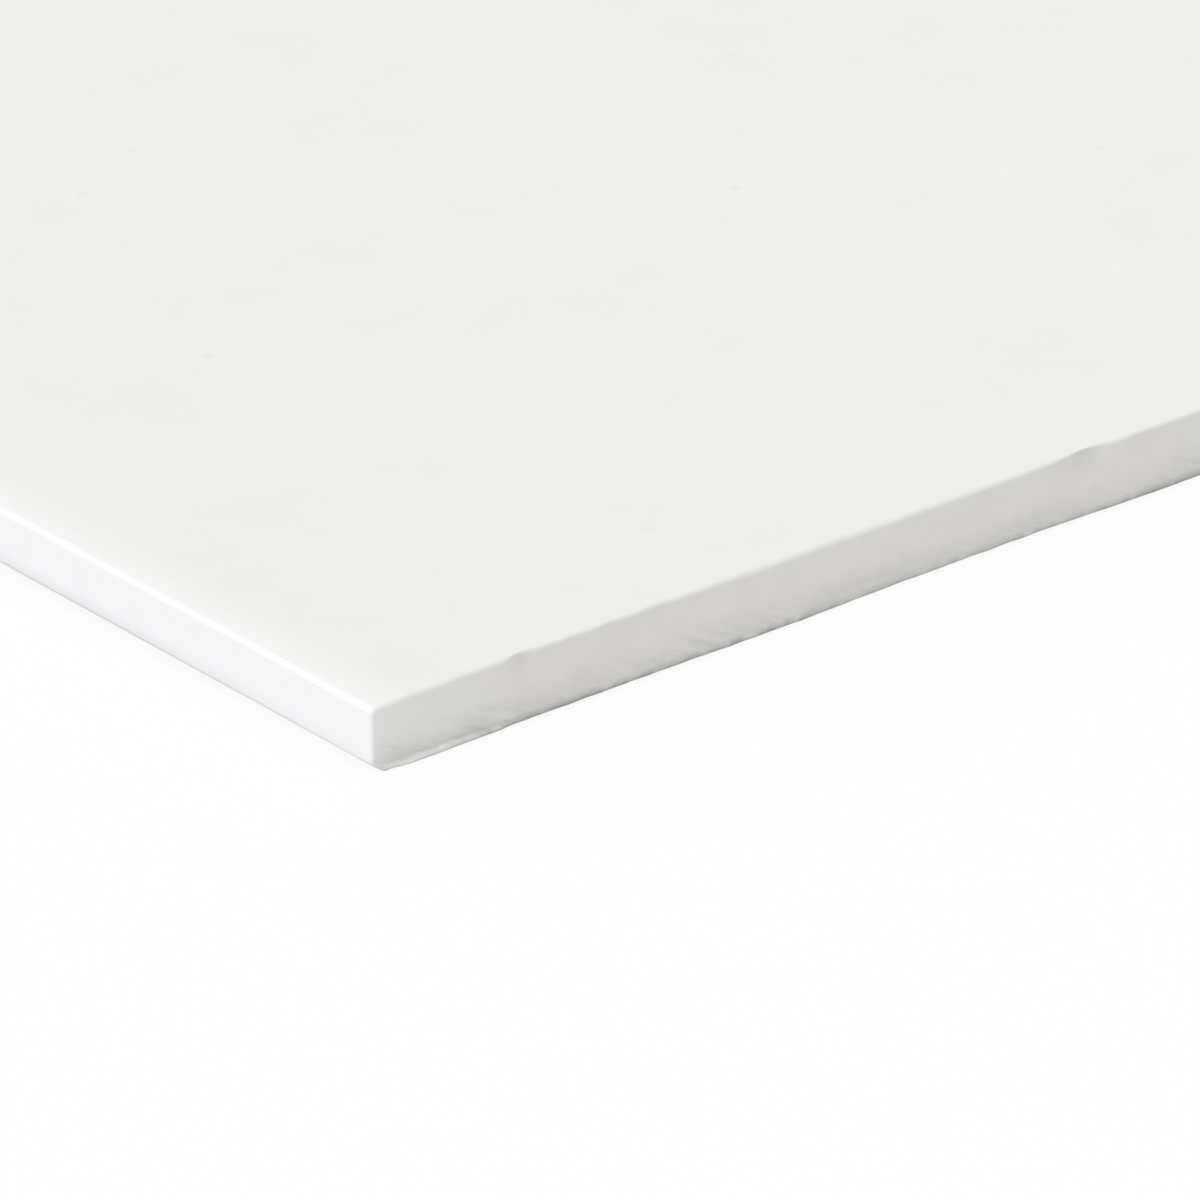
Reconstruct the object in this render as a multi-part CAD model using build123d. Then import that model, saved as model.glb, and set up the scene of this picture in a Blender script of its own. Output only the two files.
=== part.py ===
"""White composite panel sheet, lying flat with its finished face up.

The sheet is one solid. Its two ends are sheared: from the top down, the upper
face rolls over towards the end, a smooth land stands upright, and a narrow broken
part slopes in below it to the underside. Its two long sides are sawn square, with
crisp arrises.

Frame, in millimetres: +X along the length, +Y across the width, +Z up through
the thickness. The origin is the middle of the underside.
"""

import os

from build123d import *

# Stock size of the sheet
SHEET_LENGTH = 1220.0
SHEET_WIDTH = 610.0
SHEET_THICKNESS = 4.0

# Sheared ends: how far in the roll-over starts, and how far it draws the upper arris down
ROLL_OVER_WIDTH = 2.2
ROLL_OVER_DEPTH = 0.2

# Sheared ends: height of the upright land, how far the broken part draws in, and the turn between them
SHEAR_LAND = 3.1
BREAK_DRAW = 1.0
BREAK_TURN_RADIUS = 0.4

# Radii of the arrises that cutting leaves
END_UPPER_ARRIS = 0.35
END_LOWER_ARRIS = 0.35
SIDE_ARRIS = 0.2


def lengthwise_section():
    """The sheet's section from end to end, in the XZ plane."""
    half_length = SHEET_LENGTH / 2
    half_underside = half_length - BREAK_DRAW
    shoulder = half_length - ROLL_OVER_WIDTH
    end_height = SHEET_THICKNESS - ROLL_OVER_DEPTH
    break_height = end_height - SHEAR_LAND
    roll_radius = (ROLL_OVER_WIDTH**2 + ROLL_OVER_DEPTH**2) / (2 * ROLL_OVER_DEPTH)
    with BuildSketch(Plane.XZ) as section:
        with BuildLine():
            Polyline((half_underside, 0), (half_length, break_height), (half_length, end_height))
            RadiusArc((half_length, end_height), (shoulder, SHEET_THICKNESS), -roll_radius)
            Line((shoulder, SHEET_THICKNESS), (-shoulder, SHEET_THICKNESS))
            RadiusArc((-shoulder, SHEET_THICKNESS), (-half_length, end_height), -roll_radius)
            Polyline((-half_length, end_height), (-half_length, break_height), (-half_underside, 0))
            Line((-half_underside, 0), (half_underside, 0))
        make_face()
        # Rows of corners from the underside up: lower arrises, turns, upper arrises, shoulders
        upper_corners = section.vertices().group_by(Axis.Y)[2]
        fillet(upper_corners, END_UPPER_ARRIS)
        turn_corners = section.vertices().group_by(Axis.Y)[1]
        fillet(turn_corners, BREAK_TURN_RADIUS)
        lower_corners = section.vertices().group_by(Axis.Y)[0]
        fillet(lower_corners, END_LOWER_ARRIS)
    return section.sketch


def panel_sheet():
    """The section carried across the width, with the arrises of both long sides eased."""
    sheet = extrude(lengthwise_section(), amount=SHEET_WIDTH / 2, both=True)
    long_sides = sheet.faces().filter_by(Axis.Y)
    return fillet(long_sides.edges(), SIDE_ARRIS)


os.makedirs("parts", exist_ok=True)
export_step(panel_sheet(), "parts/panel_sheet.step")
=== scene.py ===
"""White composite panel sheet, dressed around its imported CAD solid.

The sheet is one closed mesh that follows the solid: a matt coated face, sheared
ends that roll over, and sawn long sides with worn and nicked arrises, saw marks, a
foot that wanders and a torn lip under the near corner. The camera looks down on
that corner, close up, on a plain white floor.
"""

import math

import bpy
import numpy as np
from mathutils import Matrix, Vector, noise
from mathutils.geometry import delaunay_2d_cdt


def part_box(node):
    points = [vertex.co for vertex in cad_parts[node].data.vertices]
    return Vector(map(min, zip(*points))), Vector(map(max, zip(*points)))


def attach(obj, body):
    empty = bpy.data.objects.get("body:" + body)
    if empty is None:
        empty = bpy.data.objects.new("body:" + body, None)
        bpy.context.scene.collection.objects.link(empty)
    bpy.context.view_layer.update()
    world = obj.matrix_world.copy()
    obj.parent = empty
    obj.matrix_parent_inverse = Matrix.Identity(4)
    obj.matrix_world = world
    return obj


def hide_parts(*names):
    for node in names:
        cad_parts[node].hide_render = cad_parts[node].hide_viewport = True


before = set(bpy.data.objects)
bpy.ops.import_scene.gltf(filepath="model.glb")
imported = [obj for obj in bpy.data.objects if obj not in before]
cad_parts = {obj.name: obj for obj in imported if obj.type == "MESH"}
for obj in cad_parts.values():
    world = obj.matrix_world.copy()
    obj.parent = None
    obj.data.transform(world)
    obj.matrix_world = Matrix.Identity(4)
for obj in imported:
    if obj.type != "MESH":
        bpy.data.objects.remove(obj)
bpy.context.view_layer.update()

MM = 0.001
SHEET_LOW, SHEET_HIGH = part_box("panel_sheet")
HALF_LENGTH = (SHEET_HIGH.x - SHEET_LOW.x) / 2
HALF_WIDTH = (SHEET_HIGH.y - SHEET_LOW.y) / 2
THICKNESS = SHEET_HIGH.z - SHEET_LOW.z
NEAR_CORNER_ALONG = -(HALF_LENGTH + HALF_WIDTH)

# Edge forms, as on the solid
ROLL_OVER_WIDTH = 2.2 * MM
ROLL_OVER_DEPTH = 0.2 * MM
SHEAR_LAND = 3.1 * MM
BREAK_DRAW = 1.0 * MM
BREAK_TURN_RADIUS = 0.4 * MM
BREAK_HEIGHT = THICKNESS - ROLL_OVER_DEPTH - SHEAR_LAND
BREAK_LEAN = math.atan2(BREAK_DRAW, BREAK_HEIGHT)
END_UPPER_ARRIS = 0.35 * MM
END_LOWER_ARRIS = 0.35 * MM
SIDE_ARRIS = 0.2 * MM
CORNER_RADIUS = 0.2 * MM

# Mesh spacing round the edge: finest along both edges of the near corner
NEAR_STEP = 0.25 * MM
CORNER_STEP = 1.5 * MM
MIDDLE_STEP = 4.0 * MM
FINE_REACH = 72 * MM
FINE_PARTS = 3
STEPS_PER_FEATURE = 3
CORNER_SEGMENTS = 4
ARRIS_SEGMENTS = 5
HOLD = 0.04 * MM
UPPER_INSETS = [12 * MM, 5 * MM, 2.2 * MM, 1.8 * MM, 1.4 * MM, 1.0 * MM]
FACE_SHARES = [*np.linspace(0.985, 0.925, 4), *np.linspace(0.88, 0.36, 7), *np.linspace(0.30, 0.02, 13)]
LOWER_INSET = 3 * MM

# Wear of the arrises, as factors on their radii
SIDE_UPPER_WEAR = 1.3
SIDE_LOWER_WEAR = 1.4
LONG_WEAR = 0.5
LONG_WEAR_LENGTH = 14 * MM
SHORT_WEAR = 0.35
SHORT_WEAR_LENGTH = 1.2 * MM
END_WEAR = 0.25
UPPER_WEAR_LAYER = 1.0
LOWER_WEAR_LAYER = 2.0
SHORT_WEAR_LAYER_STEP = 9

# Nicks in the upper arris of the long sides
NICK_LENGTH = 1.9 * MM
NICK_DEPTH = 0.2 * MM
NICK_HEIGHT = 2.0 * MM
NICK_RUN_OUT = 1.4 * MM
NICK_THRESHOLD = 0.2
NICK_RAMP = 0.4
NICK_POWER = 3
NICK_SHARPNESS = 0.6
NICK_LAYER = 59.0
# Name of the mesh attribute that carries the painted shade inside the nicks
NICK_SHADE_ATTRIBUTE = "nick_shade"

# Relief of the sawn sides and the sheared ends
SAW_MARK_DEPTH = 0.016 * MM
SAW_MARK_PITCH = 0.9 * MM
SAW_MARK_LENGTH = 6 * MM
SAW_MARK_SLANT = math.radians(26)
SAW_MARK_LAYER = 4.0
WAVE_DEPTH = 0.03 * MM
WAVE_LENGTH = 9 * MM
WAVE_LAYER = 7.0
FOOT_DRAW = 0.2 * MM
FOOT_HEIGHT = 1.4 * MM
FOOT_WAVE_LENGTH = 18 * MM
FOOT_WAVE_CREST = 0.4
FOOT_LAYER = 176.5

# Torn lip along the lower arris, by the near corner
LIP_START = 0.3 * MM
LIP_END = 10 * MM
LIP_BASE = 0.26 * MM
LIP_HEIGHT = 0.38 * MM
LIP_DEPTH = 0.2 * MM
LIP_LEDGE = 0.13 * MM
LIP_FADE = 0.28 * MM
LIP_ARRIS_SHARE = 0.4
FRONT_FACING = -0.9

# Coarse points inside the two flat faces
INNER_RINGS = [(15 * MM, 3.5 * MM), (20 * MM, 7 * MM), (32 * MM, 15 * MM), (58 * MM, 30 * MM)]
INNER_GRID = 55 * MM
MERGE_DISTANCE = 1e-7

# Camera, from the photograph's own frame
FRAME_PIXELS = 1200
NEAR_CORNER_PIXEL = (371, 707.2)
CAMERA_AZIMUTH = math.radians(-39.75)
CAMERA_ELEVATION = math.radians(25.43)
CAMERA_DISTANCE = 500 * MM
LENS = 300
SENSOR = 36

# Light levels, where a level of 1 shows a colour as it is written
SKY_LEVEL = 0.84
SKY_COLOUR = (1.0, 0.997, 0.982)
KEY_LEVEL = 0.335
KEY_COLOUR = (0.99, 0.98, 1.15)
KEY_ELEVATION = math.radians(22)
KEY_HEADING = math.radians(182)
KEY_SOFTNESS = math.radians(24)
FLOOR_SIZE = 60.0
FLOOR_GAP = 0.02 * MM
FLOOR_ALBEDO = 0.60
FLOOR_SHADOW_SHARE = 0.12

# Finish of the coated faces
COATING_LIGHT = (0.914, 0.924, 0.878)
COATING_DARK = (0.864, 0.874, 0.828)
COATING_SPECK = (0.850, 0.856, 0.812)
# Painted light: the coated face is painted paler over the last few millimetres towards both ends, where the
# low key lights the roll-over
COATING_END_LIGHT = (0.921, 0.931, 0.900)
END_LIGHT_WIDTH = 2.9 * MM
COATING_ROUGHNESS = 0.8
COATING_GRAIN_DEPTH = 0.006 * MM
SPECK_CELLS = 38.0
SPECULAR = 0.1

# Finish of the sawn long sides
SAWN_LIGHT = (0.935, 0.925, 0.889)
SAWN_DARK = (0.845, 0.835, 0.799)
# Painted light: the sawn side is painted paler towards the near corner, where light from the lit end spreads
# onto it
SAWN_CORNER_LIGHT = (0.945, 0.942, 0.925)
# Painted shade, with some soil: the sawn side darkens towards its foot, broken up by streaks and patches
SAWN_SOIL_AND_SHADE = (0.700, 0.695, 0.665)
SOIL_AND_SHADE_SHARE = 0.8
SOIL_AND_SHADE_FROM = 0.2 * MM
SOIL_AND_SHADE_TO = 2.2 * MM
SOIL_AND_SHADE_WAVE_LENGTH = 30 * MM
SOIL_AND_SHADE_WAVE_LAYER = 43.65
SOIL_AND_SHADE_WEAK_SHARE = 0.5
# Painted highlight: the torn lip by the near corner is painted paler where its ledge catches the light
LIP_LIGHT_SHARE = 0.85
LIP_LIGHT_FADE = 0.12 * MM
# Painted shade: dark flecks along the foot stand in for the shade of the contact line
CONTACT_SHADE_FLECK = (0.480, 0.480, 0.460)
FLECK_SHARE = 0.88
FLECK_FROM = 0.16 * MM
FLECK_TO = 0.6 * MM
FLECK_LENGTH = 1.1 * MM
FLECK_START = 2 * MM
FLECK_FULL = 11 * MM
# Painted shade inside the nicks
NICK_SHADE_COLOUR = (0.770, 0.765, 0.740)
STREAK_LENGTH = 3.2 * MM
STREAK_WIDTH = 0.42 * MM
SAWN_ROUGHNESS = 0.9
SAWN_STREAK_DEPTH = 0.012 * MM

# Finish of the sheared ends
SHEARED_LIGHT = (0.912, 0.915, 0.888)
SHEARED_DARK = (0.896, 0.899, 0.872)
# Painted shade: the sheared ends darken towards the foot, less near the near corner
SHEARED_FOOT_SHADE = (0.660, 0.690, 0.685)
SHEARED_FOOT_SHADE_SHARE = 0.45
SHEARED_CORNER_SHADE_SHARE = 0.15
SHEARED_CORNER_SHADE_REACH = 20 * MM
SHEARED_FOOT_SHADE_FROM = 0.7 * MM
SHEARED_FOOT_SHADE_TO = 1.5 * MM
SHEARED_ROUGHNESS = 0.8
SHEARED_MARK_DEPTH = 0.006 * MM

# Noise of the finishes: scale, detail and roughness
MOTTLE_NOISE = (130.0, 5.0, 0.58)
COATING_GRAIN_NOISE = (900.0, 2.0, 0.5)
SAWN_TONE_NOISE = (480.0, 3.0, 0.6)
PATCH_NOISE = (190.0, 2.0, 0.5)
FLECK_NOISE = (1 / FLECK_LENGTH, 3.0, 0.6)
SHEARED_TONE_NOISE = (380.0, 3.0, 0.6)
STREAK_NOISE = (1.0, 4.0, 0.62)

# Ranges of a factor: its low and high, and the two values they are carried to
SPECK_RANGE = (0.006, 0.016, 1.0, 0.0)
STREAK_RANGE = (0.32, 0.68, 0.1, 1.1)
PATCH_RANGE = (0.3, 0.7, 0.6, 1.4)
STRETCH_RANGE = (0.2, 0.45, SOIL_AND_SHADE_WEAK_SHARE, 1.0)
FLECK_RANGE = (0.36, 0.54, 0.0, 1.0)


def graded_steps(length, first_step, last_step):
    """Shares from 0 to 1 along a side, with a spacing of their own near its first and last corner."""
    reach = min(FINE_REACH, length / FINE_PARTS)
    first = np.linspace(0, reach, round(reach / first_step) + 1)
    middle = np.linspace(reach, length - reach, round((length - 2 * reach) / MIDDLE_STEP) + 1)
    last = np.linspace(length - reach, length, round(reach / last_step) + 1)
    return np.concatenate([first, middle[1:-1], last]) / length


class Stations:
    """Stations once round the sheet, from the near corner along the front, with a few round each corner.

    Each has a core (its shares of the half length and width), an outward normal, a share that says how
    much it is an end, and two partners: the stations that give the draw of its end and of its long side.
    """

    def __init__(self):
        corners = np.array([(-1, -1), (1, -1), (1, 1), (-1, 1)], float)
        normals = np.array([(0, -1), (1, 0), (0, 1), (-1, 0)], float)
        corner_steps = [NEAR_STEP, CORNER_STEP, CORNER_STEP, CORNER_STEP]
        side_lengths = [2 * HALF_LENGTH, 2 * HALF_WIDTH, 2 * HALF_LENGTH, 2 * HALF_WIDTH]
        turns = np.linspace(0, math.pi / 2, CORNER_SEGMENTS + 1)[1:-1, None]
        cores, outs, ends, spans = [], [], [], []
        placed = 0
        for side in range(4):
            after = (side + 1) % 4
            shares = graded_steps(side_lengths[side], corner_steps[side], corner_steps[after])[:, None]
            cores += [corners[side] + (corners[after] - corners[side]) * shares]
            cores += [np.repeat(corners[after][None], len(turns), 0)]
            outs += [np.repeat(normals[side][None], len(shares), 0)]
            outs += [normals[side] * np.cos(turns) + normals[after] * np.sin(turns)]
            ends += [np.full(len(shares), float(side % 2))]
            ends += [np.sin(turns[:, 0]) if side % 2 == 0 else np.cos(turns[:, 0])]
            spans.append((placed, placed + len(shares)))
            placed += len(shares) + len(turns)
        self.cores = np.concatenate(cores)
        self.outs = np.concatenate(outs)
        self.ends = np.concatenate(ends)
        self.count = placed
        self.pair_up(spans, len(turns))
        self.outline = self.plan(np.zeros(placed))
        self.spacing = np.linalg.norm(np.roll(self.outline, -1, 0) - self.outline, axis=1)
        coarsest = SHORT_WEAR_LENGTH / STEPS_PER_FEATURE
        self.fineness = np.clip(coarsest / np.maximum(self.spacing, NEAR_STEP), 0, 1)

    def pair_up(self, spans, turn_count):
        """Pairs each station with the nearest one on an end and the nearest one on a long side."""
        partners = np.tile(np.arange(self.count), (2, 1))
        for side, (start, stop) in enumerate(spans):
            own, other = (side + 1) % 2, side % 2
            before, after = spans[side - 1], spans[(side + 1) % 4]
            middle = (start + stop) // 2
            partners[other, start:middle] = before[1] - 1
            partners[other, middle:stop] = after[0]
            partners[own, stop:stop + turn_count] = stop - 1
            partners[other, stop:stop + turn_count] = after[0]
        self.end_partner, self.side_partner = partners

    def plan(self, inset):
        """Plan positions of the stations on the outline drawn in by an inset for each of them."""
        drawn = np.column_stack([inset[self.end_partner], inset[self.side_partner]])
        mean = drawn.mean(1, keepdims=True)
        corner = np.maximum(CORNER_RADIUS - mean, 0) + mean / 2
        half = np.array([[HALF_LENGTH, HALF_WIDTH]])
        return self.cores * (half - drawn - corner) + self.outs * corner


def upper_height(plan):
    """Height of the upper face, which rolls over towards both ends."""
    radius = (ROLL_OVER_WIDTH**2 + ROLL_OVER_DEPTH**2) / (2 * ROLL_OVER_DEPTH)
    past_shoulder = np.maximum(np.abs(plan[:, 0]) - (HALF_LENGTH - ROLL_OVER_WIDTH), 0)
    return THICKNESS - radius + np.sqrt(radius**2 - past_shoulder**2)


def break_draw(height):
    """How far a sheared end draws in at a height: none on the land, then a turn and the broken slope."""
    tangent = BREAK_TURN_RADIUS * math.tan(BREAK_LEAN / 2)
    below_land = np.clip(BREAK_HEIGHT + tangent - height, 0, BREAK_TURN_RADIUS * math.sin(BREAK_LEAN))
    turn = BREAK_TURN_RADIUS - np.sqrt(BREAK_TURN_RADIUS**2 - below_land**2)
    slope = BREAK_DRAW * (1 - height / BREAK_HEIGHT)
    return np.maximum(turn, slope)


def smooth_noise(first, second, layer):
    """Noise from -1 to 1 over pairs of coordinates, with features about 1 across."""
    return np.array([noise.noise(Vector((a, b, layer))) for a, b in zip(first, second)])


def outline_noise(outline, length, layer):
    """Noise from -1 to 1 round the outline, with features about length across."""
    return smooth_noise(outline[:, 0] / length, outline[:, 1] / length, layer)


def arris_wear(stations, layer):
    """Factor on an arris radius: uneven all along, with short wear where the mesh is fine enough for it."""
    long_wear = LONG_WEAR * outline_noise(stations.outline, LONG_WEAR_LENGTH, layer)
    short_layer = layer + SHORT_WEAR_LAYER_STEP
    short_wear = SHORT_WEAR * outline_noise(stations.outline, SHORT_WEAR_LENGTH, short_layer)
    return 1 + (long_wear + stations.fineness * short_wear) * (1 + (END_WEAR - 1) * stations.ends)


def nick_strength(stations):
    """How deeply the upper arris of the long sides is nicked, from 0 to 1, with run-outs."""
    places = outline_noise(stations.outline, NICK_LENGTH, NICK_LAYER)
    nicks = np.clip((places - NICK_THRESHOLD) / NICK_RAMP, 0, 1)**NICK_POWER * stations.fineness
    for i in range(1, stations.count):
        nicks[i] = max(nicks[i], nicks[i - 1] - stations.spacing[i - 1] / NICK_RUN_OUT)
    return nicks * (1 - stations.ends)


def nick_share(nicks, height):
    """How deep the nicks are at a height, from 0 to 1: they slope out to the long side below."""
    return nicks * np.clip(1 - (THICKNESS - height) / NICK_HEIGHT, 0, 1)


def lip_place(stations):
    """Share of the way along the lip, and how strongly it shows there."""
    share = np.clip((stations.outline[:, 0] + HALF_LENGTH - LIP_START) / (LIP_END - LIP_START), 0, 1)
    on_front = stations.outs[:, 1] < FRONT_FACING
    return share, np.where(on_front, np.sin(math.pi * np.sqrt(share)), 0)


def lip_recess(stations, height):
    """How far the long side is torn back above the lip by the near corner, which leaves a ledge."""
    share, strength = lip_place(stations)
    ledge = LIP_BASE + (LIP_HEIGHT - LIP_BASE) * np.sin(math.pi * share)
    above = np.exp(-np.maximum(height - ledge, 0) / LIP_FADE)
    below = np.clip(1 - (ledge - height) / LIP_LEDGE, 0, 1)
    return LIP_DEPTH * strength * np.minimum(above, below)


def foot_draw(stations, height):
    """How far the foot of a long side wanders in from its plane."""
    wave = np.clip(outline_noise(stations.outline, FOOT_WAVE_LENGTH, FOOT_LAYER) / FOOT_WAVE_CREST, 0, 1)
    return FOOT_DRAW * wave * (1 - stations.ends) * np.clip(1 - height / FOOT_HEIGHT, 0, 1)


def face_relief(stations, height):
    """How far a point of a cut face lies in from its plane: saw marks, waves, foot and lip."""
    along = stations.outline.sum(1)
    down_mark = along * math.cos(SAW_MARK_SLANT) - height * math.sin(SAW_MARK_SLANT)
    across_mark = along * math.sin(SAW_MARK_SLANT) + height * math.cos(SAW_MARK_SLANT)
    marks = smooth_noise(down_mark / SAW_MARK_LENGTH, across_mark / SAW_MARK_PITCH, SAW_MARK_LAYER)
    waves = smooth_noise(along / WAVE_LENGTH, height / WAVE_LENGTH, WAVE_LAYER)
    relief = SAW_MARK_DEPTH * (1 - stations.ends) * (1 + marks) / 2 + WAVE_DEPTH * (1 + waves) / 2
    return relief + foot_draw(stations, height) + lip_recess(stations, height)


def edge_rings(stations, nicks):
    """Rings of points round the sheet, from the upper face over the cut face to the underside."""
    ends = stations.ends
    side_upper, side_lower = SIDE_ARRIS * SIDE_UPPER_WEAR, SIDE_ARRIS * SIDE_LOWER_WEAR
    upper = side_upper + (END_UPPER_ARRIS - side_upper) * ends
    upper *= arris_wear(stations, UPPER_WEAR_LAYER)
    upper *= 1 - NICK_SHARPNESS * nicks
    lower = side_lower + (END_LOWER_ARRIS - side_lower) * ends
    lower *= arris_wear(stations, LOWER_WEAR_LAYER)
    lower *= 1 + (LIP_ARRIS_SHARE - 1) * lip_place(stations)[1]
    roll = 2 * math.atan(ROLL_OVER_DEPTH / ROLL_OVER_WIDTH) * ends
    lean = BREAK_LEAN * ends
    rings = []

    def add_ring(inset, height):
        rings.append(np.column_stack([stations.plan(inset), height]))

    shoulder_inset = upper * (1 - np.sin(roll)) + NICK_DEPTH * nicks
    shoulder = upper_height(stations.plan(shoulder_inset))
    for inset in [*(np.full(stations.count, inset) for inset in UPPER_INSETS), shoulder_inset + HOLD]:
        add_ring(inset, upper_height(stations.plan(inset)))
    for share in np.linspace(0, 1, ARRIS_SEGMENTS + 1):
        turn = roll + (math.pi / 2 - roll) * share
        height = shoulder - upper * (np.cos(roll) - np.cos(turn))
        relief = share * face_relief(stations, height) + NICK_DEPTH * nick_share(nicks, height)
        add_ring(upper * (1 - np.sin(turn)) + relief, height)
    face_top = shoulder - upper * np.cos(roll)
    face_foot = lower * (1 - np.sin(lean))
    for share in FACE_SHARES:
        height = face_foot + (face_top - face_foot) * share
        relief = face_relief(stations, height) + NICK_DEPTH * nick_share(nicks, height)
        add_ring(ends * break_draw(height) + relief, height)
    arris_centre = ends * break_draw(face_foot) + face_relief(stations, face_foot) + lower * np.cos(lean)
    for share in np.linspace(0, 1, ARRIS_SEGMENTS + 1):
        turn = lean + (math.pi / 2 - lean) * share
        add_ring(arris_centre - lower * np.cos(turn), lower * (1 - np.sin(turn)))
    for inset in [arris_centre + HOLD, np.full(stations.count, LOWER_INSET)]:
        add_ring(inset, np.zeros(stations.count))
    return np.array(rings)


def fill_points(inset):
    """Coarse points for a flat face, inside the ring that is inset from the outline."""
    points = []
    for further, step in INNER_RINGS:
        half_x, half_y = HALF_LENGTH - inset - further, HALF_WIDTH - inset - further
        across = np.linspace(-half_x, half_x, round(2 * half_x / step) + 1)
        along = np.linspace(-half_y, half_y, round(2 * half_y / step) + 1)
        points += [(x, y) for x in across for y in (-half_y, half_y)]
        points += [(x, y) for y in along[1:-1] for x in (-half_x, half_x)]
    half_x -= INNER_GRID / 2
    half_y -= INNER_GRID / 2
    grid_x = np.linspace(-half_x, half_x, round(2 * half_x / INNER_GRID) + 1)
    grid_y = np.linspace(-half_y, half_y, round(2 * half_y / INNER_GRID) + 1)
    return points + [(x, y) for x in grid_x for y in grid_y]


def fill_face(vertices, faces, ring_start, count, inset, height, facing_up):
    """Fills a flat face inside a ring of the mesh with triangles that grow towards the middle."""
    ring = [Vector(vertices[ring_start + i][:2]) for i in range(count)]
    inner = [Vector(point) for point in fill_points(inset)]
    border = [(i, (i + 1) % count) for i in range(count)]
    filled = delaunay_2d_cdt(ring + inner, border, [], 1, MERGE_DISTANCE)
    placed, _, triangles, sources, _, _ = filled
    index_of = {}
    for i, point in enumerate(placed):
        source = min(sources[i])
        if source < count:
            index_of[i] = ring_start + source
        else:
            index_of[i] = len(vertices)
            vertices.append((point.x, point.y, height))
    for triangle in triangles:
        corners = [index_of[i] for i in triangle]
        faces.append(corners if facing_up else corners[::-1])


def panel_mesh():
    """The whole sheet as one closed mesh: coated faces, sawn long sides and sheared ends."""
    stations = Stations()
    nicks = nick_strength(stations)
    rings = edge_rings(stations, nicks)
    ring_count, count = rings.shape[:2]
    vertices = [tuple(point) for ring in rings for point in ring]
    faces, finishes = [], []
    coated, sawn, sheared = range(3)
    first_cut_ring = len(UPPER_INSETS) + 2
    last_cut_ring = ring_count - 3
    for ring in range(ring_count - 1):
        for i in range(count):
            j = (i + 1) % count
            faces.append((ring * count + i, (ring + 1) * count + i, (ring + 1) * count + j, ring * count + j))
            cut = sheared if stations.ends[i] + stations.ends[j] > 1 else sawn
            finishes.append(cut if first_cut_ring <= ring < last_cut_ring else coated)
    fill_face(vertices, faces, 0, count, UPPER_INSETS[0], THICKNESS, True)
    fill_face(vertices, faces, (ring_count - 1) * count, count, LOWER_INSET, 0.0, False)
    finishes += [coated] * (len(faces) - len(finishes))
    mesh = bpy.data.meshes.new("panel_sheet_dressed")
    mesh.from_pydata(vertices, [], faces)
    mesh.materials.append(coating_material())
    mesh.materials.append(sawn_side_material())
    mesh.materials.append(sheared_end_material())
    mesh.polygons.foreach_set("material_index", np.array(finishes, np.int32))
    mesh.polygons.foreach_set("use_smooth", np.ones(len(faces), bool))
    # Painted shade inside the nicks, carried to the material
    nick_shade_values = np.zeros(len(vertices), np.float32)
    nick_shade_values[:ring_count * count] = nick_share(nicks, rings[:, :, 2]).ravel()
    mesh.attributes.new(NICK_SHADE_ATTRIBUTE, "FLOAT", "POINT").data.foreach_set("value", nick_shade_values)
    mesh.update()
    return mesh


def add_node(tree, kind, **inputs):
    """A new shader node with its inputs set by name, underscores standing for spaces."""
    node = tree.nodes.new(kind)
    for name, value in inputs.items():
        node.inputs[name.replace("_", " ")].default_value = value
    return node


def math_node(tree, operation, first, second):
    """The result of a sum on a socket and a second socket or number."""
    node = tree.nodes.new("ShaderNodeMath")
    node.operation = operation
    tree.links.new(first, node.inputs[0])
    if isinstance(second, float):
        node.inputs[1].default_value = second
    else:
        tree.links.new(second, node.inputs[1])
    return node.outputs["Value"]


def ranged(tree, value, low, high, to_low, to_high):
    """A value carried from one range to another and held at both ends."""
    node = tree.nodes.new("ShaderNodeMapRange")
    tree.links.new(value, node.inputs["Value"])
    for name, limit in (("From Min", low), ("From Max", high), ("To Min", to_low), ("To Max", to_high)):
        node.inputs[name].default_value = limit
    return node.outputs["Result"]


def mixed_colour(tree, factor, first, second):
    """A colour between two by a factor socket, each a colour or a socket."""
    mix = tree.nodes.new("ShaderNodeMix")
    mix.data_type = "RGBA"
    tree.links.new(factor, mix.inputs["Factor"])
    for name, colour in (("A", first), ("B", second)):
        if isinstance(colour, tuple):
            mix.inputs[name].default_value = (*colour, 1)
        else:
            tree.links.new(colour, mix.inputs[name])
    return mix.outputs["Result"]


def noise_factor(tree, vector, scale, detail, roughness):
    """A noise factor from 0 to 1 at a vector socket."""
    node = add_node(tree, "ShaderNodeTexNoise", Scale=scale, Detail=detail, Roughness=roughness)
    tree.links.new(vector, node.inputs["Vector"])
    return node.outputs["Fac"]


def new_finish(name, roughness, specular):
    """A new material with its tree, its shader and the object's own coordinates."""
    material = bpy.data.materials.new(name)
    material.use_nodes = True
    tree = material.node_tree
    shader = tree.nodes["Principled BSDF"]
    shader.inputs["Roughness"].default_value = roughness
    shader.inputs["Specular IOR Level"].default_value = specular
    place = tree.nodes.new("ShaderNodeTexCoord")
    return material, tree, shader, place.outputs["Object"]


def add_bump(tree, shader, height, depth):
    """Fine relief from a height socket, depth metres deep."""
    bump = add_node(tree, "ShaderNodeBump", Strength=1.0, Distance=depth)
    tree.links.new(height, bump.inputs["Height"])
    tree.links.new(bump.outputs["Normal"], shader.inputs["Normal"])


def unrolled_edge(tree, place):
    """Coordinates on the cut faces, as a vector of both and apart: distance along the edge, then height."""
    split = tree.nodes.new("ShaderNodeSeparateXYZ")
    tree.links.new(place, split.inputs["Vector"])
    joined = tree.nodes.new("ShaderNodeCombineXYZ")
    along = math_node(tree, "ADD", split.outputs["X"], split.outputs["Y"])
    tree.links.new(along, joined.inputs["X"])
    tree.links.new(split.outputs["Z"], joined.inputs["Y"])
    return joined.outputs["Vector"], along, split.outputs["Z"]


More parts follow.
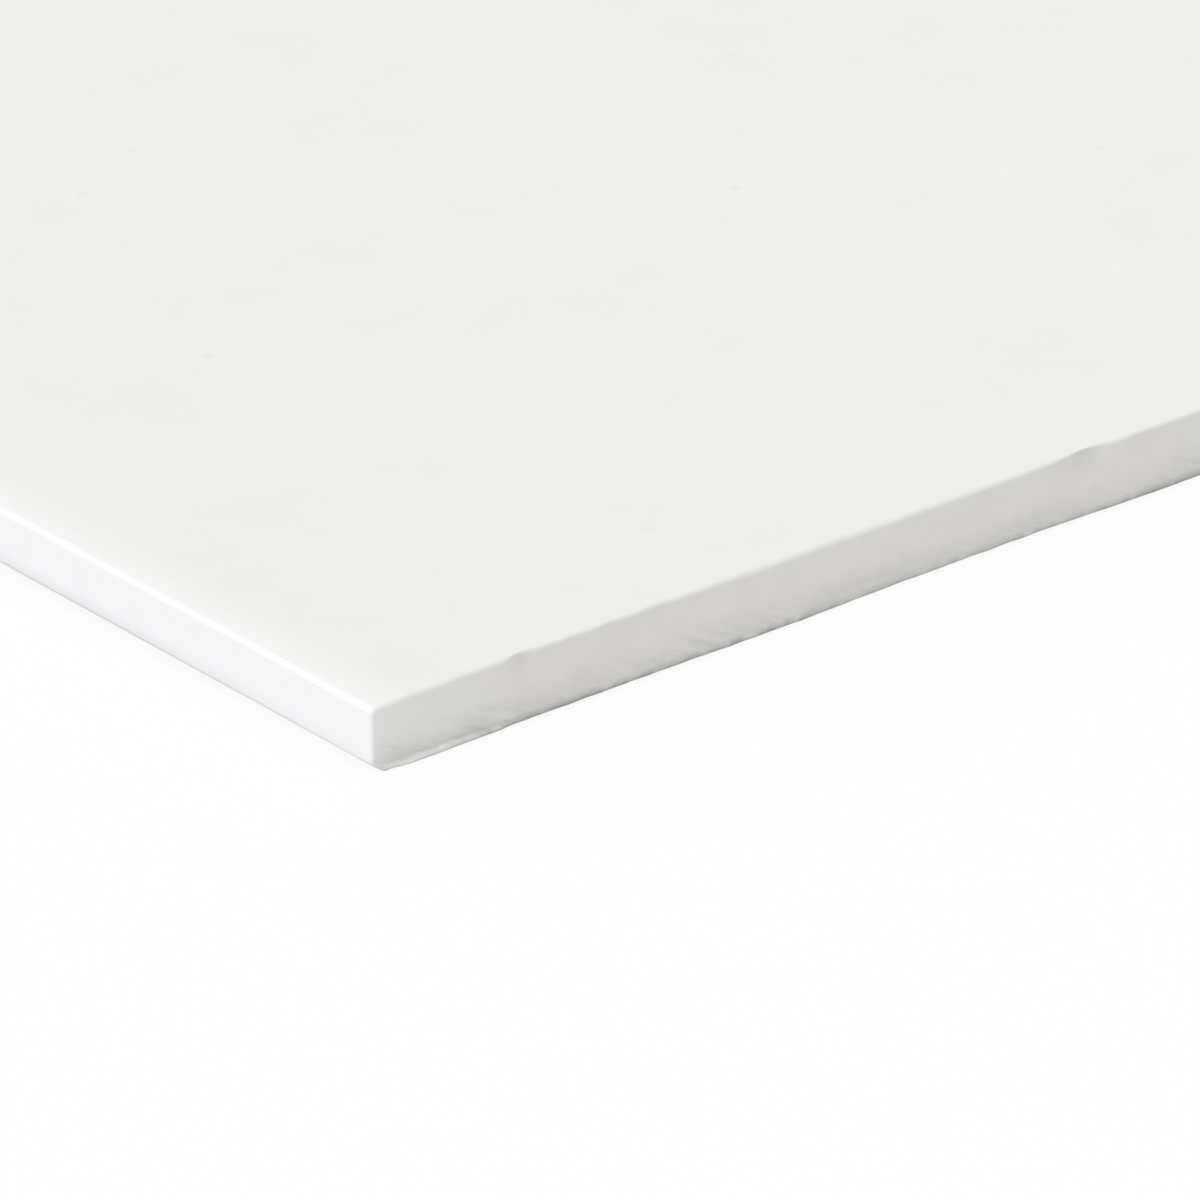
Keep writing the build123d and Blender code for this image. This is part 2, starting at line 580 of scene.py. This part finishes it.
def streak_factor(tree, vector, angle, length, width):
    """Streaks from 0 to 1 at an angle to the edge, about length long and width wide."""
    node = tree.nodes.new("ShaderNodeMapping")
    node.vector_type = "TEXTURE"
    node.inputs["Rotation"].default_value = (0, 0, angle)
    node.inputs["Scale"].default_value = (length, width, 1)
    tree.links.new(vector, node.inputs["Vector"])
    return noise_factor(tree, node.outputs["Vector"], *STREAK_NOISE)


def edge_wave(tree, along, length, layer):
    """A slow wave from 0 to 1 along the edge, with about length from a crest to a dip."""
    node = add_node(tree, "ShaderNodeTexNoise", Scale=1 / length, Detail=0.0)
    node.noise_dimensions = "1D"
    tree.links.new(math_node(tree, "ADD", along, layer * length), node.inputs["W"])
    return node.outputs["Fac"]


def coating_material():
    """Matt white coating: faint mottle, sparse specks, and painted light that makes it paler towards both
    ends.
    """
    material, tree, shader, place = new_finish("white_coating", COATING_ROUGHNESS, SPECULAR)
    mottle = noise_factor(tree, place, *MOTTLE_NOISE)
    colour = mixed_colour(tree, mottle, COATING_DARK, COATING_LIGHT)
    split = tree.nodes.new("ShaderNodeSeparateXYZ")
    tree.links.new(place, split.inputs["Vector"])
    mirrored = math_node(tree, "MULTIPLY", split.outputs["X"], -1.0)
    from_middle = math_node(tree, "MAXIMUM", split.outputs["X"], mirrored)
    # Painted light: paler towards both ends
    end_light_from, end_light_to = HALF_LENGTH - END_LIGHT_WIDTH, HALF_LENGTH - END_UPPER_ARRIS
    end_light = ranged(tree, from_middle, end_light_from, end_light_to, 0.0, 1.0)
    colour = mixed_colour(tree, end_light, colour, COATING_END_LIGHT)
    cells = add_node(tree, "ShaderNodeTexVoronoi", Scale=SPECK_CELLS)
    cells.voronoi_dimensions = "2D"
    tree.links.new(place, cells.inputs["Vector"])
    specks = ranged(tree, cells.outputs["Distance"], *SPECK_RANGE)
    tree.links.new(mixed_colour(tree, specks, colour, COATING_SPECK), shader.inputs["Base Color"])
    grain = noise_factor(tree, place, *COATING_GRAIN_NOISE)
    add_bump(tree, shader, grain, COATING_GRAIN_DEPTH)
    return material


def sawn_side_material():
    """Sawn edge: duller, with slanting saw marks, and painted light that makes it paler by the near corner
    and on the torn lip.

    Painted shade, broken up by soil, and dark flecks of painted shade lie along its foot in stretches, with
    painted shade in the nicks.
    """
    material, tree, shader, place = new_finish("sawn_side", SAWN_ROUGHNESS, SPECULAR)
    unrolled, along, height = unrolled_edge(tree, place)
    streaks = streak_factor(tree, unrolled, -SAW_MARK_SLANT, STREAK_LENGTH, STREAK_WIDTH)
    tone = noise_factor(tree, unrolled, *SAWN_TONE_NOISE)
    # Painted light: paler towards the near corner
    corner_light = ranged(tree, along, NEAR_CORNER_ALONG + LIP_START, NEAR_CORNER_ALONG + LIP_END, 1.0, 0.0)
    face_tone = mixed_colour(tree, corner_light, mixed_colour(tree, tone, SAWN_DARK, SAWN_LIGHT), SAWN_CORNER_LIGHT)
    # Painted shade towards the foot, broken up into streaky soil
    low_down = ranged(tree, height, SOIL_AND_SHADE_FROM, SOIL_AND_SHADE_TO, SOIL_AND_SHADE_SHARE, 0.0)
    grain = ranged(tree, streaks, *STREAK_RANGE)
    patches = ranged(tree, noise_factor(tree, unrolled, *PATCH_NOISE), *PATCH_RANGE)
    wave = edge_wave(tree, along, SOIL_AND_SHADE_WAVE_LENGTH, SOIL_AND_SHADE_WAVE_LAYER)
    stretches = ranged(tree, wave, *STRETCH_RANGE)
    foot_darkening = math_node(tree, "MULTIPLY", math_node(tree, "MULTIPLY", low_down, grain), patches)
    foot_darkening = math_node(tree, "MULTIPLY", foot_darkening, stretches)
    colour = mixed_colour(tree, foot_darkening, face_tone, SAWN_SOIL_AND_SHADE)
    # Painted shade inside the nicks
    nick_shading = tree.nodes.new("ShaderNodeAttribute")
    nick_shading.attribute_name = NICK_SHADE_ATTRIBUTE
    colour = mixed_colour(tree, nick_shading.outputs["Fac"], colour, NICK_SHADE_COLOUR)
    # Painted highlight on the lip's ledge by the near corner
    lip_light = ranged(tree, height, LIP_HEIGHT, LIP_HEIGHT + LIP_LIGHT_FADE, LIP_LIGHT_SHARE, 0.0)
    colour = mixed_colour(tree, math_node(tree, "MULTIPLY", corner_light, lip_light), colour, SAWN_CORNER_LIGHT)
    # Painted shade: dark flecks along the contact line at the foot
    at_foot = ranged(tree, height, FLECK_FROM, FLECK_TO, FLECK_SHARE, 0.0)
    flecks = ranged(tree, noise_factor(tree, unrolled, *FLECK_NOISE), *FLECK_RANGE)
    fleck_from, fleck_full = NEAR_CORNER_ALONG + FLECK_START, NEAR_CORNER_ALONG + FLECK_FULL
    past_corner = ranged(tree, along, fleck_from, fleck_full, 0.0, 1.0)
    contact_shade_flecks = math_node(tree, "MULTIPLY", math_node(tree, "MULTIPLY", at_foot, flecks), past_corner)
    contact_shade_flecks = math_node(tree, "MULTIPLY", contact_shade_flecks, stretches)
    colour = mixed_colour(tree, contact_shade_flecks, colour, CONTACT_SHADE_FLECK)
    tree.links.new(colour, shader.inputs["Base Color"])
    add_bump(tree, shader, streaks, SAWN_STREAK_DEPTH)
    return material


def sheared_end_material():
    """Sheared edge: smooth, with faint upright marks and painted shade low down that fades towards the near
    corner.
    """
    material, tree, shader, place = new_finish("sheared_end", SHEARED_ROUGHNESS, SPECULAR)
    unrolled, along, height = unrolled_edge(tree, place)
    tone = noise_factor(tree, unrolled, *SHEARED_TONE_NOISE)
    face_tone = mixed_colour(tree, tone, SHEARED_DARK, SHEARED_LIGHT)
    # Painted shade towards the foot, weaker near the near corner
    low_down = ranged(tree, height, SHEARED_FOOT_SHADE_FROM, SHEARED_FOOT_SHADE_TO, SHEARED_FOOT_SHADE_SHARE, 0.0)
    corner_shade_fade = (NEAR_CORNER_ALONG, NEAR_CORNER_ALONG + SHEARED_CORNER_SHADE_REACH, SHEARED_CORNER_SHADE_SHARE, 1.0)
    foot_darkening = math_node(tree, "MULTIPLY", low_down, ranged(tree, along, *corner_shade_fade))
    tree.links.new(mixed_colour(tree, foot_darkening, face_tone, SHEARED_FOOT_SHADE), shader.inputs["Base Color"])
    marks = streak_factor(tree, unrolled, math.pi / 2, STREAK_LENGTH, STREAK_WIDTH)
    add_bump(tree, shader, marks, SHEARED_MARK_DEPTH)
    return material


def seen_directly(tree):
    """A factor that is 1 for rays from the camera, mirrors and glass, and 0 for light that spreads."""
    path = tree.nodes.new("ShaderNodeLightPath")
    factor = path.outputs["Is Camera Ray"]
    for kind in ("Is Glossy Ray", "Is Transmission Ray"):
        factor = math_node(tree, "MAXIMUM", factor, path.outputs[kind])
    return factor


def mixed_shader(tree, factor, first, second):
    """A mix of two shader sockets by a number or a factor socket."""
    mix = tree.nodes.new("ShaderNodeMixShader")
    if isinstance(factor, float):
        mix.inputs["Fac"].default_value = factor
    else:
        tree.links.new(factor, mix.inputs["Fac"])
    tree.links.new(first, mix.inputs[1])
    tree.links.new(second, mix.inputs[2])
    return mix.outputs["Shader"]


def floor_material():
    """White floor that spreads light as a pale one, and shows white with a weak shadow."""
    material = bpy.data.materials.new("white_floor")
    material.use_nodes = True
    tree = material.node_tree
    tree.nodes.remove(tree.nodes["Principled BSDF"])
    pale = add_node(tree, "ShaderNodeBsdfDiffuse", Color=(FLOOR_ALBEDO, FLOOR_ALBEDO, FLOOR_ALBEDO, 1))
    shaded = add_node(tree, "ShaderNodeBsdfDiffuse", Color=(1, 1, 1, 1))
    white = add_node(tree, "ShaderNodeEmission", Color=(1, 1, 1, 1), Strength=1.0)
    shown = mixed_shader(tree, FLOOR_SHADOW_SHARE, white.outputs["Emission"], shaded.outputs["BSDF"])
    surface = mixed_shader(tree, seen_directly(tree), pale.outputs["BSDF"], shown)
    tree.links.new(surface, tree.nodes["Material Output"].inputs["Surface"])
    return material


def add_floor():
    """The level floor that the sheet lies on."""
    half = FLOOR_SIZE / 2
    mesh = bpy.data.meshes.new("floor")
    corners = [(-half, -half, 0), (half, -half, 0), (half, half, 0), (-half, half, 0)]
    mesh.from_pydata(corners, [], [(0, 1, 2, 3)])
    mesh.materials.append(floor_material())
    floor = bpy.data.objects.new("floor", mesh)
    floor.location.z = SHEET_LOW.z - FLOOR_GAP
    bpy.context.scene.collection.objects.link(floor)


def add_light():
    """Even white sky, and a soft low key from beyond the sheet's left end."""
    world = bpy.data.worlds.new("studio")
    world.use_nodes = True
    tree = world.node_tree
    sky = tree.nodes["Background"]
    sky.inputs["Color"].default_value = (*SKY_COLOUR, 1)
    sky.inputs["Strength"].default_value = SKY_LEVEL
    backdrop = add_node(tree, "ShaderNodeBackground", Color=(1, 1, 1, 1), Strength=1.0)
    spread, shown = sky.outputs["Background"], backdrop.outputs["Background"]
    surface = mixed_shader(tree, seen_directly(tree), spread, shown)
    tree.links.new(surface, tree.nodes["World Output"].inputs["Surface"])
    bpy.context.scene.world = world
    lamp = bpy.data.lights.new("key", "SUN")
    lamp.energy = KEY_LEVEL * math.pi
    lamp.color = KEY_COLOUR
    lamp.angle = KEY_SOFTNESS
    key = bpy.data.objects.new("key", lamp)
    towards_key = Vector((
        math.cos(KEY_ELEVATION) * math.cos(KEY_HEADING),
        math.cos(KEY_ELEVATION) * math.sin(KEY_HEADING),
        math.sin(KEY_ELEVATION),
    ))
    key.rotation_euler = towards_key.to_track_quat("Z", "Y").to_euler()
    bpy.context.scene.collection.objects.link(key)


def add_camera():
    """A long lens that puts the sheet's near upper corner where the photograph has it."""
    data = bpy.data.cameras.new("camera")
    data.lens = LENS
    data.sensor_width = SENSOR
    camera = bpy.data.objects.new("camera", data)
    back = Vector((
        math.sin(CAMERA_AZIMUTH) * math.cos(CAMERA_ELEVATION),
        -math.cos(CAMERA_AZIMUTH) * math.cos(CAMERA_ELEVATION),
        math.sin(CAMERA_ELEVATION),
    ))
    right = Vector((math.cos(CAMERA_AZIMUTH), math.sin(CAMERA_AZIMUTH), 0))
    up = back.cross(right)
    pixel = SENSOR / LENS / FRAME_PIXELS * CAMERA_DISTANCE
    to_right = (NEAR_CORNER_PIXEL[0] - FRAME_PIXELS / 2) * pixel
    to_up = (FRAME_PIXELS / 2 - NEAR_CORNER_PIXEL[1]) * pixel
    near_corner = Vector((SHEET_LOW.x, SHEET_LOW.y, SHEET_HIGH.z))
    place = near_corner + back * CAMERA_DISTANCE - right * to_right - up * to_up
    axes = Matrix((right, up, back)).transposed()
    camera.matrix_world = Matrix.Translation(place) @ axes.to_4x4()
    bpy.context.scene.collection.objects.link(camera)
    bpy.context.scene.camera = camera


def add_panel():
    """The dressed sheet, standing for its CAD solid."""
    panel = bpy.data.objects.new("panel_sheet_dressed", panel_mesh())
    bpy.context.scene.collection.objects.link(panel)
    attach(panel, "root")
    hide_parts("panel_sheet")


add_camera()
add_light()
add_floor()
add_panel()
bpy.context.scene.view_settings.view_transform = "Standard"
